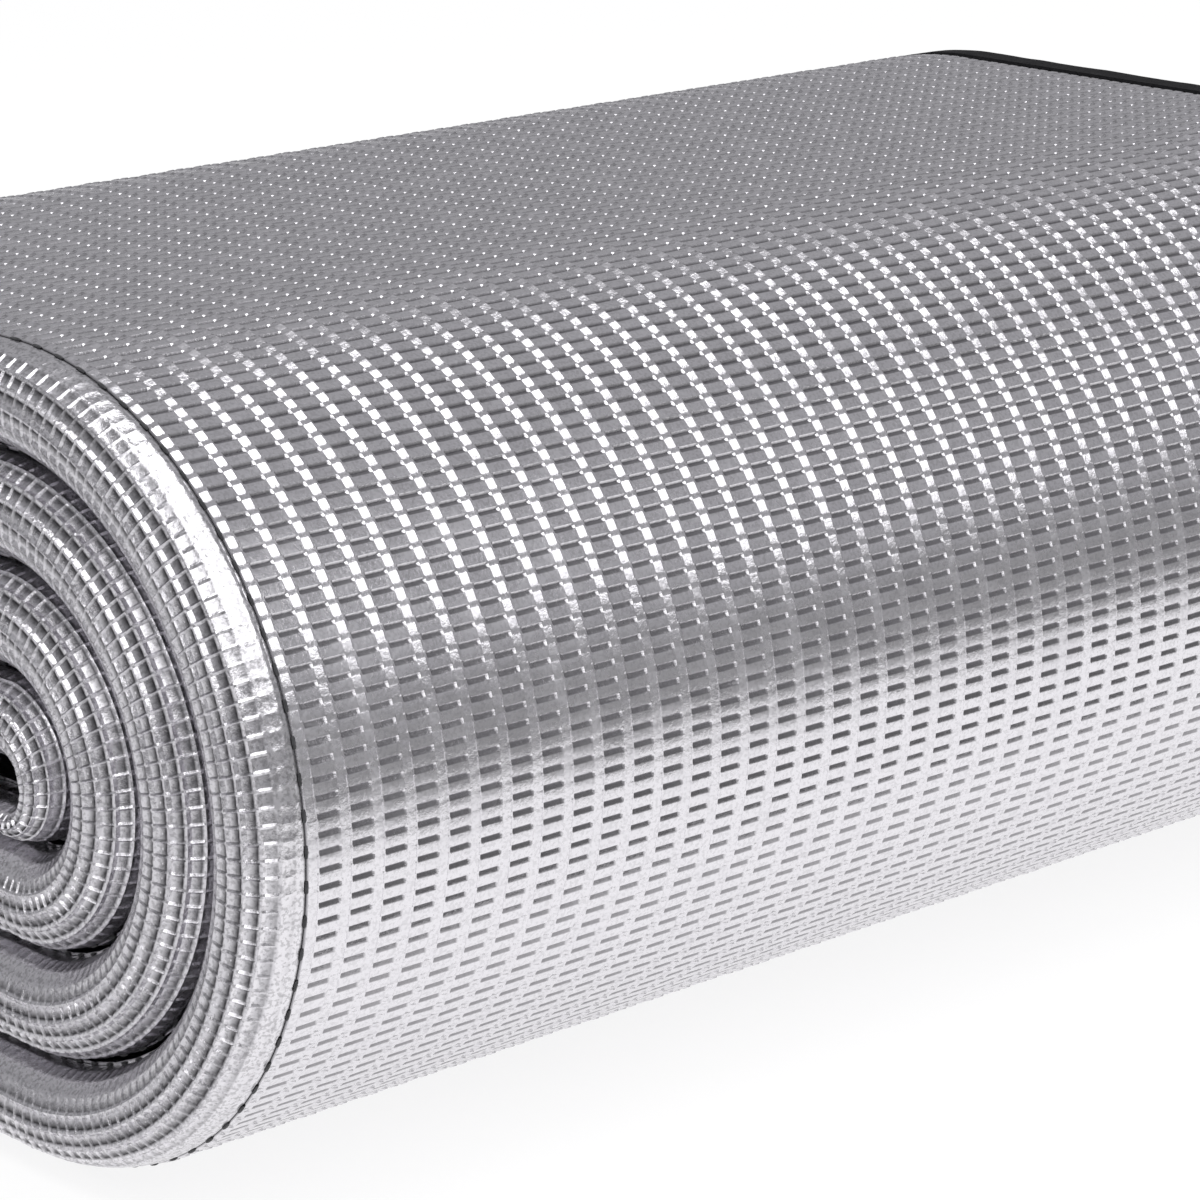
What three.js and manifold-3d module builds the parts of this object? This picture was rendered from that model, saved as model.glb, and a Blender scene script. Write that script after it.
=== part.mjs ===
// A closed-cell foam sleeping pad, skinned in embossed metallised film and rolled up.
// Every piece is drawn flat, as it is cut, and is then rolled: X runs across the pad and along
// the roll's axis, Y is the height above the pad's inner face, and Z counts steps along its length.
import * as THREE from 'three';
import { mergeVertices } from 'three/addons/utils/BufferGeometryUtils.js';
import Module from 'manifold-3d';

const wasm = await Module();
wasm.setup();

// Driving dimensions, in millimetres
const PAD_WIDTH = 500;
const PAD_THICKNESS = 26.3;
const FILM = 1.2; // the embossed film, measured over its relief
const FIT = 0.3; // clearance between pieces that touch
const TURN_GAP = 0.5; // clearance between one turn of the roll and the next
const OUTER_RADIUS = 117.4; // the roll's round ends, at the pad's outer end
const FLAT = 128.4; // the flat top and bottom between the two round ends
const SLOT = 2; // half the slot left in the middle of the roll
const SQUEEZE = 4; // how softly the inmost turns are squeezed against that slot
const SEAM = 1.6; // width of the seam between two pieces of film
const THREAD = 1.0;
const BAND_WIDTH = 13;
const BAND_THICKNESS = 1.2;
const BAND_CLEARANCE = 0.4;
const BAND_PAST_SEAM = 6; // how far the band reaches over the pad's rounded edge
const BAND_SEAT = 1.7; // how far the band presses the outer turn in
const SEAT_RAMP = 3.5; // across the pad, from the full thickness down to the seat
const SEAT_FADE = 0.25; // share of a turn over which the seat ends, under the pad's outer end
const LAP_FROM_STEP = 5; // the band's sewn lap lies between these two steps of the outer turn
const LAP_TO_STEP = 6;

// Worked out from them
const PITCH = PAD_THICKNESS + TURN_GAP;
const NOSE = PAD_THICKNESS / 2; // the pad's edges and ends are half-round
const SKIN = FILM + FIT;
const SEAM_X = PAD_WIDTH / 2 - NOSE; // where the flat faces end and the half-round edges begin
const SEAT_X = SEAM_X + BAND_PAST_SEAM - BAND_WIDTH - FIT;
const HALF_FLAT = FLAT / 2;

// One turn: an arc up the back to the top, the flat top, the round front, the flat bottom and
// an arc back to the start. Each arc is cut in equal steps, and each flat is one step.
const START_ANGLE = 315;
const ARC_STEP = 15;
const EDGE_SEGMENTS = 4; // flats round each half-round edge
const BACK_STEPS = (450 - START_ANGLE) / ARC_STEP;
const TOP_END = BACK_STEPS + 1;
const FRONT_END = TOP_END + 180 / ARC_STEP;
const BOTTOM_END = FRONT_END + 1;
const STEPS_PER_TURN = BOTTOM_END + (START_ANGLE - 270) / ARC_STEP;
const LAST_STEP = 3 * STEPS_PER_TURN + FRONT_END; // the inner end lies on the fourth flat bottom
const INNER_TAIL = 0.9; // share of that flat which the pad still covers
const OUTER_END_STEP = THREE.MathUtils.degToRad(ARC_STEP) * (OUTER_RADIUS - NOSE);

// Radius of the roll's outer surface after a number of turns, counted inwards
function radiusAt(turns) {
  const even = OUTER_RADIUS - PITCH * turns;
  return SLOT + SQUEEZE * Math.log1p(Math.exp((even - SLOT) / SQUEEZE));
}

// Where a step of the pad's length lies: the arc's centre, the angle round it, the turns so far
function stepAt(count) {
  const turn = Math.floor(count / STEPS_PER_TURN);
  const step = count - turn * STEPS_PER_TURN;
  let middle = HALF_FLAT;
  let angle = START_ANGLE + ARC_STEP * step;
  if (step > BACK_STEPS) {
    middle = HALF_FLAT - FLAT * Math.min(step - BACK_STEPS, 1);
    angle = 450 + ARC_STEP * Math.max(step - TOP_END, 0);
  }
  if (step > FRONT_END) {
    middle = FLAT * Math.min(step - FRONT_END, 1) - HALF_FLAT;
    angle = 630 + ARC_STEP * Math.max(step - BOTTOM_END, 0);
  }
  const turns = turn + (angle - START_ANGLE) / 360;
  return { middle, angle: THREE.MathUtils.degToRad(angle), turns };
}

// Drawn length to steps. Beyond either end, one unit of drawn length is the half-round's radius.
const DRAWN_LENGTH = LAST_STEP + 1;
function stepCount(drawn) {
  if (drawn < 0) return (drawn * NOSE) / OUTER_END_STEP;
  if (drawn <= LAST_STEP) return drawn;
  if (drawn <= DRAWN_LENGTH) return LAST_STEP + (drawn - LAST_STEP) * INNER_TAIL;
  return LAST_STEP + INNER_TAIL + ((drawn - DRAWN_LENGTH) * NOSE) / FLAT;
}

// Drawn lengths a distance in from the pad's outer and inner ends
function fromOuterEnd(distance) {
  return distance / OUTER_END_STEP;
}
function fromInnerEnd(distance) {
  return DRAWN_LENGTH - distance / (FLAT * INNER_TAIL);
}

// The foam gives way where the roll leaves less room than the pad is thick, and the film doesn't
function squeezedDepth(depth, room) {
  if (depth <= SKIN) return depth;
  if (depth >= PAD_THICKNESS - SKIN) return room - (PAD_THICKNESS - depth);
  return SKIN + ((depth - SKIN) * (room - 2 * SKIN)) / (PAD_THICKNESS - 2 * SKIN);
}

// The band presses the outer turn in, most at its outer face and not at all at its inner face
function pressedDepth(x, depth, turns) {
  const along = THREE.MathUtils.clamp((x - SEAT_X) / SEAT_RAMP + 1, 0, 1);
  const wrapped = THREE.MathUtils.clamp((1 - turns) / SEAT_FADE + 1, 0, 1);
  return BAND_SEAT * along * wrapped * Math.max(0, 1 - depth / (PAD_THICKNESS - SKIN));
}

function rolledPoint(x, height, count) {
  const { middle, angle, turns } = stepAt(count);
  const depth = PAD_THICKNESS - height;
  const room = radiusAt(turns) - radiusAt(turns + 1) - TURN_GAP;
  const radius = radiusAt(turns) - squeezedDepth(depth, room) - pressedDepth(x, depth, turns);
  return new THREE.Vector3(x, middle + radius * Math.cos(angle), radius * Math.sin(angle));
}

// Shares the corners that meet, and drops the triangles that this leaves with no area
function welded(geometry) {
  geometry.deleteAttribute('normal');
  geometry.deleteAttribute('uv');
  const shared = mergeVertices(geometry, 1e-3);
  const corners = shared.index.array;
  const kept = [];
  for (let i = 0; i < corners.length; i += 3) {
    const [a, b, c] = corners.subarray(i, i + 3);
    if (a !== b && b !== c && c !== a) kept.push(a, b, c);
  }
  shared.setIndex(kept);
  return shared;
}

function rolled(geometry) {
  const places = geometry.attributes.position;
  for (let i = 0; i < places.count; i += 1) {
    const point = rolledPoint(places.getX(i), places.getY(i), stepCount(places.getZ(i)));
    places.setXYZ(i, point.x, point.y, point.z);
  }
  return welded(geometry);
}

// A pad-shaped outline inset from the pad's own surface: flat faces and half-round edges
function padOutline(inset) {
  const radius = NOSE - inset;
  const outline = new THREE.Shape();
  outline.moveTo(-SEAM_X, inset);
  outline.lineTo(SEAM_X, inset);
  outline.absarc(SEAM_X, NOSE, radius, -Math.PI / 2, Math.PI / 2, false);
  outline.lineTo(SEAT_X, PAD_THICKNESS - inset);
  outline.lineTo(SEAT_X - SEAT_RAMP, PAD_THICKNESS - inset);
  outline.lineTo(-SEAM_X, PAD_THICKNESS - inset);
  outline.absarc(-SEAM_X, NOSE, radius, Math.PI / 2, (3 * Math.PI) / 2, false);
  return outline;
}

// A pad-shaped solid with half-round ends as well as edges, from one drawn length over some steps
function padSolid(inset, from, steps) {
  const radius = NOSE - inset;
  const rounding = radius * Math.cos(Math.PI / 2 / EDGE_SEGMENTS) - 0.4; // just short of the middle
  const geometry = new THREE.ExtrudeGeometry(padOutline(inset), {
    depth: steps,
    steps,
    curveSegments: EDGE_SEGMENTS / 2,
    bevelThickness: radius / NOSE,
    bevelSize: rounding,
    bevelOffset: -rounding,
    bevelSegments: 3,
  });
  return rolled(geometry.translate(0, 0, from));
}

// An outline carried along the pad from one drawn length to another, then rolled
function lengthwise(outline, from, to) {
  const steps = Math.max(1, Math.round(to - from));
  const geometry = new THREE.ExtrudeGeometry(outline, {
    depth: steps,
    steps,
    curveSegments: EDGE_SEGMENTS / 2,
    bevelEnabled: false,
  });
  const places = geometry.attributes.position;
  for (let i = 0; i < places.count; i += 1) {
    const z = places.getZ(i);
    if (z === 0) places.setZ(i, from);
    if (z === steps) places.setZ(i, to);
  }
  return rolled(geometry);
}

// The section of a flat strip, which bends where it crosses the band's seat
function stripOutline(left, right, bottom, top) {
  const bends = [SEAT_X - SEAT_RAMP, SEAT_X].filter((x) => x > left && x < right);
  const outline = new THREE.Shape();
  outline.moveTo(left, bottom);
  for (const x of bends) outline.lineTo(x, bottom);
  outline.lineTo(right, bottom);
  outline.lineTo(right, top);
  for (const x of bends.reverse()) outline.lineTo(x, top);
  outline.lineTo(left, top);
  return outline;
}

// The film folded round a long edge is a half-ring in section
function edgeBindingOutline(side) {
  const outline = new THREE.Shape();
  const start = (-side * Math.PI) / 2;
  outline.absarc(side * SEAM_X, NOSE, NOSE, start, start + Math.PI, false);
  outline.absarc(side * SEAM_X, NOSE, NOSE - FILM, start + Math.PI, start, true);
  return outline;
}

function toSolid(geometry) {
  const mesh = new wasm.Mesh({
    numProp: 3,
    vertProperties: geometry.attributes.position.array,
    triVerts: new Uint32Array(geometry.index.array),
  });
  return new wasm.Manifold(mesh);
}

function toGeometry(solid) {
  const mesh = solid.getMesh();
  const geometry = new THREE.BufferGeometry();
  geometry.setAttribute('position', new THREE.BufferAttribute(mesh.vertProperties, 3));
  geometry.setIndex(new THREE.BufferAttribute(mesh.triVerts, 1));
  return geometry;
}

// The film folded round a short end: the pad's outside less its inside, kept beyond the end only
function endBinding(from, beyond) {
  const spare = 1;
  const half = PAD_WIDTH / 2 + spare;
  const reach = stripOutline(-half, half, -spare, PAD_THICKNESS + spare);
  const outside = toSolid(padSolid(0, from, 1));
  const inside = toSolid(padSolid(FILM, from, 1));
  const kept = toSolid(lengthwise(reach, Math.min(...beyond), Math.max(...beyond)));
  return toGeometry(outside.subtract(inside).intersect(kept));
}

function convexHull(points) {
  const sorted = [...points].sort((a, b) => a.x - b.x || a.y - b.y);
  const side = (list) => {
    const chain = [];
    for (const point of list) {
      while (chain.length > 1) {
        const last = chain[chain.length - 1].clone().sub(chain[chain.length - 2]);
        if (last.cross(point.clone().sub(chain[chain.length - 1])) > 1e-6) break;
        chain.pop();
      }
      chain.push(point);
    }
    return chain.slice(0, -1);
  };
  return [...side(sorted), ...side(sorted.reverse())];
}

// A closed anticlockwise outline moved outwards by a distance given for each of its points
function widened(outline, distanceAt) {
  return outline.map((point, i) => {
    const before = outline[(i + outline.length - 1) % outline.length];
    const after = outline[(i + 1) % outline.length];
    const into = point.clone().sub(before).normalize();
    const out = after.clone().sub(point).normalize();
    const along = into.clone().add(out).normalize();
    const reach = distanceAt(point) / into.dot(along);
    return new THREE.Vector2(point.x + along.y * reach, point.y - along.x * reach);
  });
}

// The taut line round the pressed outer turn, across the step at the pad's outer end
function bandLine() {
  const points = [];
  for (let step = 0; step <= STEPS_PER_TURN; step += 1) {
    points.push(rolledPoint(SEAM_X, PAD_THICKNESS, step));
  }
  for (const turn of [Math.PI / 6, Math.PI / 3, Math.PI / 2]) {
    const height = NOSE * (1 + Math.cos(turn));
    points.push(rolledPoint(SEAM_X, height, stepCount(-Math.sin(turn))));
  }
  return convexHull(points.map((point) => new THREE.Vector2(point.y, point.z)));
}

// The band's ends are sewn one over the other between two steps on the roll's back
const LAP_MIDDLE = START_ANGLE - 360 + (ARC_STEP * (LAP_FROM_STEP + LAP_TO_STEP)) / 2;
function inLap(point) {
  const angle = THREE.MathUtils.radToDeg(Math.atan2(point.y, point.x - HALF_FLAT));
  return Math.abs(angle - LAP_MIDDLE) < ARC_STEP * 0.6;
}

function bandOuterLine() {
  const plain = BAND_CLEARANCE + BAND_THICKNESS;
  return widened(bandLine(), (point) => (inLap(point) ? plain + BAND_THICKNESS : plain));
}

// An outline in the roll's section, drawn out along the roll
function elasticBand() {
  const ring = new THREE.Shape(bandOuterLine());
  ring.holes.push(new THREE.Path(widened(bandLine(), () => BAND_CLEARANCE)));
  const geometry = new THREE.ExtrudeGeometry(ring, { depth: BAND_WIDTH, bevelEnabled: false });
  const sectionToRoll = new THREE.Matrix4().makeBasis(
    new THREE.Vector3(0, 1, 0),
    new THREE.Vector3(0, 0, 1),
    new THREE.Vector3(1, 0, 0),
  );
  return geometry.applyMatrix4(sectionToRoll);
}

// The bartack: a dense block of stitches that holds the lap
function bartack() {
  const across = BAND_WIDTH - 4;
  const along = 14;
  const outline = new THREE.Shape();
  outline.moveTo(-across / 2, -along / 2);
  outline.lineTo(across / 2, -along / 2);
  outline.lineTo(across / 2, along / 2);
  outline.lineTo(-across / 2, along / 2);
  return new THREE.ExtrudeGeometry(outline, {
    depth: 0.2,
    bevelThickness: 0.3,
    bevelSize: 0.3,
    bevelOffset: -0.3,
    bevelSegments: 1,
  });
}

const film = { color: 0xc9c8cd, roughness: 0.32, metalness: 0.9 };
const foam = { color: 0xe9eaec, roughness: 0.9, metalness: 0 };
const thread = { color: 0x2c2c30, roughness: 0.8, metalness: 0 };
const elastic = { color: 0x0b0b0c, roughness: 0.85, metalness: 0 };

const pad = new THREE.Group();
function place(name, geometry, finish, x = 0) {
  geometry.computeVertexNormals();
  const mesh = new THREE.Mesh(geometry, new THREE.MeshStandardMaterial(finish));
  mesh.name = name;
  mesh.position.x = x;
  pad.add(mesh);
  return mesh;
}

// The foam and its film. The film is four kinds of panel: two faces, two edges and two ends.
place('foam_core', padSolid(SKIN, 0, DRAWN_LENGTH), foam);

const faceHalf = SEAM_X - SEAM;
const facesFrom = fromOuterEnd(SEAM);
const facesTo = fromInnerEnd(SEAM);
const outerFace = stripOutline(-faceHalf, faceHalf, PAD_THICKNESS - FILM, PAD_THICKNESS);
const innerFace = stripOutline(-faceHalf, faceHalf, 0, FILM);
place('outer_face_film', lengthwise(outerFace, facesFrom, facesTo), film);
place('inner_face_film', lengthwise(innerFace, facesFrom, facesTo), film);

const edgesFrom = fromOuterEnd(FIT);
const edgesTo = fromInnerEnd(FIT);
place('left_edge_film', lengthwise(edgeBindingOutline(-1), edgesFrom, edgesTo), film);
place('right_edge_film', lengthwise(edgeBindingOutline(1), edgesFrom, edgesTo), film);
place('outer_end_film', endBinding(0, [-1.3, 0]), film);
place('inner_end_film', endBinding(DRAWN_LENGTH - 1, [DRAWN_LENGTH, DRAWN_LENGTH + 1.3]), film);

// The seams. Each has a needle thread on the pad's outer face and a bobbin thread on its inner one.
const threadFaces = {
  needle: [PAD_THICKNESS - FILM, PAD_THICKNESS - 0.2],
  bobbin: [0.2, FILM],
};
for (const [kind, [bottom, top]] of Object.entries(threadFaces)) {
  const seamMiddle = SEAM_X - SEAM / 2;
  for (const [side, name] of [[-1, 'left'], [1, 'right']]) {
    const middle = side * seamMiddle;
    const edge = stripOutline(middle - THREAD / 2, middle + THREAD / 2, bottom, top);
    place(`${name}_edge_${kind}_thread`, lengthwise(edge, edgesFrom, edgesTo), thread);
  }
  const across = stripOutline(-faceHalf, faceHalf, bottom, top);
  const outerSeam = lengthwise(across, fromOuterEnd(FIT), fromOuterEnd(FIT + THREAD));
  const innerSeam = lengthwise(across, fromInnerEnd(FIT + THREAD), fromInnerEnd(FIT));
  place(`outer_end_${kind}_thread`, outerSeam, thread);
  place(`inner_end_${kind}_thread`, innerSeam, thread);
}

// The elastic band that keeps the roll closed, over the right-hand edge
const bandX = SEAM_X + BAND_PAST_SEAM - BAND_WIDTH;
place('elastic_band', elasticBand(), elastic, bandX);
const lap = bandOuterLine().filter(inLap);
const lapRun = lap[1].clone().sub(lap[0]);
const lapMiddle = lap[0].clone().add(lap[1]).divideScalar(2);
const outward = new THREE.Vector2(lapRun.y, -lapRun.x).normalize();
const tack = place('band_bartack', bartack(), thread, bandX + BAND_WIDTH / 2);
tack.position.y = lapMiddle.x + outward.x * 2 * FIT;
tack.position.z = lapMiddle.y + outward.y * 2 * FIT;
tack.rotation.x = Math.atan2(-lapRun.y, -lapRun.x);

// The origin is under the middle of the roll, on the surface that it rests on
const back = radiusAt((360 - START_ANGLE) / 360);
const front = radiusAt((540 - START_ANGLE) / 360);
pad.position.set(0, (front - back) / 2, radiusAt((630 - START_ANGLE) / 360));
pad.name = 'rolled_sleeping_pad';
export default pad;
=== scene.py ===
# %% [markdown]
# # A rolled-up foam sleeping pad
#
# The object is a closed-cell foam pad with a metallised film bonded all over it. The film is
# embossed with rows of small leaning beads and pressed slots, its panels meet in sewn seams, and
# the pad is rolled into a flattened roll that a black elastic band keeps shut. We start from the
# imported frame, which fixes every size and place, and remember its box.

# %% Load the frame
import math

import bpy
import numpy as np
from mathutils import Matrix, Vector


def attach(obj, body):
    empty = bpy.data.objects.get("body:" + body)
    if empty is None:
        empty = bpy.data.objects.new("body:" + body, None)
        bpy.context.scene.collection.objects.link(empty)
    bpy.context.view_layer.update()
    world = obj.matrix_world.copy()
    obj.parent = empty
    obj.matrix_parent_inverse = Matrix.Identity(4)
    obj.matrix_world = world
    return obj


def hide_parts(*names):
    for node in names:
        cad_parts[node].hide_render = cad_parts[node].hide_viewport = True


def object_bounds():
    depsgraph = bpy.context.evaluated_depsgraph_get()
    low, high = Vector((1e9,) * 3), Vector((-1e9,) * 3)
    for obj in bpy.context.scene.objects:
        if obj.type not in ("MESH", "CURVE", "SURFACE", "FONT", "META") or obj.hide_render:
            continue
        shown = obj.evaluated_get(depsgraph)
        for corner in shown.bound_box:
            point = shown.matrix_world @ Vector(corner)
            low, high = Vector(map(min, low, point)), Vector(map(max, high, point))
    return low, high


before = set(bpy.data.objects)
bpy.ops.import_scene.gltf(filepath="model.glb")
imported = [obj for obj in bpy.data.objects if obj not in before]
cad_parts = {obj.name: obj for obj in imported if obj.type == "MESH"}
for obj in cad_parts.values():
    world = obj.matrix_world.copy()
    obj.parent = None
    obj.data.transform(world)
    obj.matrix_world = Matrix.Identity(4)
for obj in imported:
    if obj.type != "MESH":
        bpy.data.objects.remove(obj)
cad_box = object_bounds()
print("the frame's box:", cad_box)

# %% [markdown]
# ## The camera and the studio
#
# The camera comes first, so that every later choice can be looked at. A long lens stands well
# back, a little above the roll, and looks along it from its near end. The floor is pale and
# glows faintly like a light table, so that shadows stay soft. Bare metal film only shows what is
# around it: a grey room above, the white floor below, and one soft lamp over the camera, which
# makes each bead sparkle.

# %% Camera
LENS = 136.2
SENSOR = 36
CAMERA_PLACE = (-0.8378, -0.9129, 0.4310)
YAW = math.radians(42.95)
PITCH_DOWN = math.radians(15.92)
camera_data = bpy.data.cameras.new("camera")
camera_data.lens = LENS
camera_data.sensor_width = SENSOR
camera = bpy.data.objects.new("camera", camera_data)
camera.location = CAMERA_PLACE
camera.rotation_euler = (math.pi / 2 - PITCH_DOWN, 0, -YAW)
bpy.context.collection.objects.link(camera)
bpy.context.scene.camera = camera
print("the camera looks down by", round(math.degrees(PITCH_DOWN), 1), "degrees")

# %% Room light and lamps
ROOM = 0.36
ROOM_BLUE = 1.03 * ROOM
KEY_PLACE = (-0.72, -1.95, 2.35)
KEY_SIZE = (4.4, 2.4)
KEY_WATTS = 50
OVERHEAD_STRENGTH = 1.0
OVERHEAD_SPREAD = math.radians(40)

world = bpy.data.worlds.new("grey room")
world.use_nodes = True
world.node_tree.nodes["Background"].inputs["Color"].default_value = (ROOM, ROOM, ROOM_BLUE, 1)
bpy.context.scene.world = world
bpy.context.scene.view_settings.view_transform = "Standard"


def aim(lamp, place, target):
    """Put a lamp at a place and turn it to a target."""
    lamp.location = place
    away = lamp.location - type(lamp.location)(target)
    lamp.rotation_euler = away.to_track_quat("Z", "Y").to_euler()
    bpy.context.collection.objects.link(lamp)


key_data = bpy.data.lights.new("key softbox", "AREA")
key_data.shape = "RECTANGLE"
key_data.size, key_data.size_y = KEY_SIZE
key_data.energy = KEY_WATTS
key = bpy.data.objects.new("key softbox", key_data)
aim(key, KEY_PLACE, (0, 0, 0.1))

sky_data = bpy.data.lights.new("overhead", "SUN")
sky_data.energy = OVERHEAD_STRENGTH
sky_data.angle = OVERHEAD_SPREAD
sky = bpy.data.objects.new("overhead", sky_data)
aim(sky, (0, 0, 3), (0.1, 0.1, 0))
print("lamps:", key.name, sky.name)

# %% Pale floor
REACH = 12
UNDER = 0.0005
PAPER_TONE = 0.25
PAPER_GLOW = 0.80


def plain_sheet(name, corners, tone, height):
    """A flat four-cornered sheet of one matt tone, for the studio and not for the object."""
    mesh = bpy.data.meshes.new(name)
    mesh.from_pydata(corners, [], [(0, 1, 2, 3)])
    material = bpy.data.materials.new(name)
    material.use_nodes = True
    shader = material.node_tree.nodes["Principled BSDF"]
    shader.inputs["Base Color"].default_value = (tone, tone, tone, 1)
    shader.inputs["Roughness"].default_value = 1.0
    mesh.materials.append(material)
    sheet = bpy.data.objects.new(name, mesh)
    sheet.location.z = cad_box[0][2] + height
    bpy.context.collection.objects.link(sheet)
    return sheet, shader


floor_corners = [(-REACH, -REACH, 0), (REACH, -REACH, 0), (REACH, REACH, 0), (-REACH, REACH, 0)]
floor, paper = plain_sheet("floor", floor_corners, PAPER_TONE, -UNDER)
paper.inputs["Roughness"].default_value = 0.9
paper.inputs["Specular IOR Level"].default_value = 0.0
paper.inputs["Emission Color"].default_value = (1, 1, 1, 1)
paper.inputs["Emission Strength"].default_value = PAPER_GLOW
print("the floor lies at", floor.location.z)

# %% [markdown]
# ## Cards that only reflections see
#
# Metal film shows whatever lies around it. A bare white floor would bleach the roll's near end and
# wipe out the foot of its front, and an even room would leave the front without its darker band.
# So a paler card lies beside the roll and a grey one in front of it, and a third stands far in
# front. Nothing but a reflection sees them, and the floor stays pale.

# %% Cards
CARD_EDGE = -0.62
CARD_FAR = 9
BESIDE = (-1.5, -0.262)
BACK = 1.6
WALL_FROM = 0.2
WALL_AT = -2.6
WALL_TOP = 1.0
# name, tone, left and right, near and far, and how high the far edge stands
CARDS = (
    ("side card", 0.80, BESIDE, (CARD_EDGE, BACK), 0),
    ("front card", 0.27, (-CARD_FAR, CARD_FAR), (-CARD_FAR, CARD_EDGE), 0),
    ("standing card", 0.40, (WALL_FROM, CARD_FAR), (WALL_AT, WALL_AT), WALL_TOP),
)
for name, tone, (left_x, right_x), (near_y, far_y), top in CARDS:
    foot = [(left_x, near_y, 0), (right_x, near_y, 0)]
    card, _ = plain_sheet(name, [*foot, (right_x, far_y, top), (left_x, far_y, top)], tone, UNDER)
    card.visible_camera = False
    card.visible_diffuse = False
    card.visible_shadow = False
print("cards:", [row[0] for row in CARDS])

# %% [markdown]
# ## The pad's sizes
#
# The pad is drawn flat first: X across it, Y along it from the outer end, and Z down from the
# outer face, which is at 0, to the inner face. The long edges are half-round, so the flat faces
# stop at the seams. These numbers are the pad's own, in metres, and its width is the frame's.

# %% Sizes of the flat pad
THICK = 0.0263
NOSE = THICK / 2
SEAM_X = cad_box[1][0] - NOSE
FILM = 0.0012
FILM_GAP = 0.0003
SKIN = FILM + FILM_GAP
RELIEF = 0.0010
SEAM_HALF = 0.0009
TURN_GAP = 0.0005
print("flat faces are", round(2 * SEAM_X, 4), "m wide, edges curve with radius", round(NOSE, 5))

# %% [markdown]
# ## How a roll is described
#
# A roll is a rule, not a shape to be sculpted. Walk along the pad in steps: nine steps of 15
# degrees up the back, one step across the flat top, twelve round the front, one along the flat
# bottom and three up to where the turn began. Every turn lies one pad thickness further in. The
# inmost turns are squeezed flat against each other, so their radius eases towards a small slot.

# %% The rule of the roll, as plain numbers
OUTER_RADIUS = 0.1174
FLAT = 0.1284
SLOT = 0.002
SQUEEZE = 0.004
TURN = THICK + TURN_GAP
ARC_STEP = 15
START_ANGLE = 315
STEPS_PER_TURN = 26
BACK_END = 9
FRONT_START = 10
FRONT_END = 22
BOTTOM_END = 23
LAST_STEP = 100.9
OUTER_END_STEP = math.radians(ARC_STEP) * (OUTER_RADIUS - NOSE)


def radius_at(turns):
    """The radius of the pad's outer face after some turns, counted inwards."""
    even = OUTER_RADIUS - TURN * turns
    return SLOT + SQUEEZE * np.log1p(np.exp((even - SLOT) / SQUEEZE))


def angle_at(steps):
    """The angle round the roll, in degrees, that a step lies at, counted from the start."""
    turn = np.floor(steps / STEPS_PER_TURN)
    left = steps - turn * STEPS_PER_TURN
    arcs = np.minimum(left, BACK_END)
    arcs = arcs + np.clip(left - FRONT_START, 0, FRONT_END - FRONT_START)
    arcs = arcs + np.clip(left - BOTTOM_END, 0, STEPS_PER_TURN - BOTTOM_END)
    return 360 * turn + ARC_STEP * arcs


FINE_PARTS = 40000


def walk_the_pad():
    """Fine steps, and how far along the pad's outer face each one lies, in metres."""
    fine = np.linspace(0, LAST_STEP, FINE_PARTS + 1)
    angle = angle_at(fine)
    turned = np.radians(np.diff(angle))
    radius = radius_at((angle[1:] + angle[:-1]) / 720)
    flat = np.where(turned < 1e-9, FLAT * np.diff(fine), 0)
    return fine, np.concatenate([[0], np.cumsum(turned * radius + flat)])


FINE_STEPS, FINE_LENGTH = walk_the_pad()
PAD_LENGTH = FINE_LENGTH[-1]
TURNS = LAST_STEP / STEPS_PER_TURN
print("the pad is", round(PAD_LENGTH, 3), "m long and makes", round(TURNS, 2), "turns")

# %% [markdown]
# ## Writing sums as nodes
#
# Geometry Nodes work out sums with Math nodes, which are slow to read and to place by hand. This
# small class lets ordinary Python sums place them: each plus or times adds one node and a link.

# %% Sums that become Math nodes


class Flow:
    """A number that flows through a node tree."""

    def __init__(self, tree, socket):
        self.tree = tree
        self.socket = socket

    def then(self, operation, *others):
        """One Math node further on."""
        node = self.tree.nodes.new("ShaderNodeMath")
        node.operation = operation
        for socket, value in zip(node.inputs, (self, *others), strict=False):
            if isinstance(value, Flow):
                self.tree.links.new(value.socket, socket)
            else:
                socket.default_value = value
        return Flow(self.tree, node.outputs[0])

    def __add__(self, other):
        return self.then("ADD", other)

    def __sub__(self, other):
        return self.then("SUBTRACT", other)

    def __mul__(self, other):
        return self.then("MULTIPLY", other)

    def __truediv__(self, other):
        return self.then("DIVIDE", other)

    def clamped(self, low, high):
        """The number, kept between two others."""
        return self.then("MAXIMUM", low).then("MINIMUM", high)


def new_tree(name, sizes):
    """A node tree with a mesh and named sizes going in, and a mesh coming out."""
    tree = bpy.data.node_groups.new(name, "GeometryNodeTree")
    tree.interface.new_socket("Geometry", in_out="INPUT", socket_type="NodeSocketGeometry")
    for size in sizes:
        tree.interface.new_socket(size, in_out="INPUT", socket_type="NodeSocketFloat")
    tree.interface.new_socket("Material", in_out="INPUT", socket_type="NodeSocketMaterial")
    tree.interface.new_socket("Geometry", in_out="OUTPUT", socket_type="NodeSocketGeometry")
    entry = tree.nodes.new("NodeGroupInput")
    inputs = {size: Flow(tree, entry.outputs[size]) for size in sizes}
    return tree, entry, inputs


def attribute(tree, name, kind="FLOAT"):
    """The socket that reads an attribute of the points."""
    node = tree.nodes.new("GeometryNodeInputNamedAttribute")
    node.data_type = kind
    node.inputs["Name"].default_value = name
    socket = next(s for s in node.outputs if s.enabled)
    return Flow(tree, socket) if kind == "FLOAT" else socket


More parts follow.
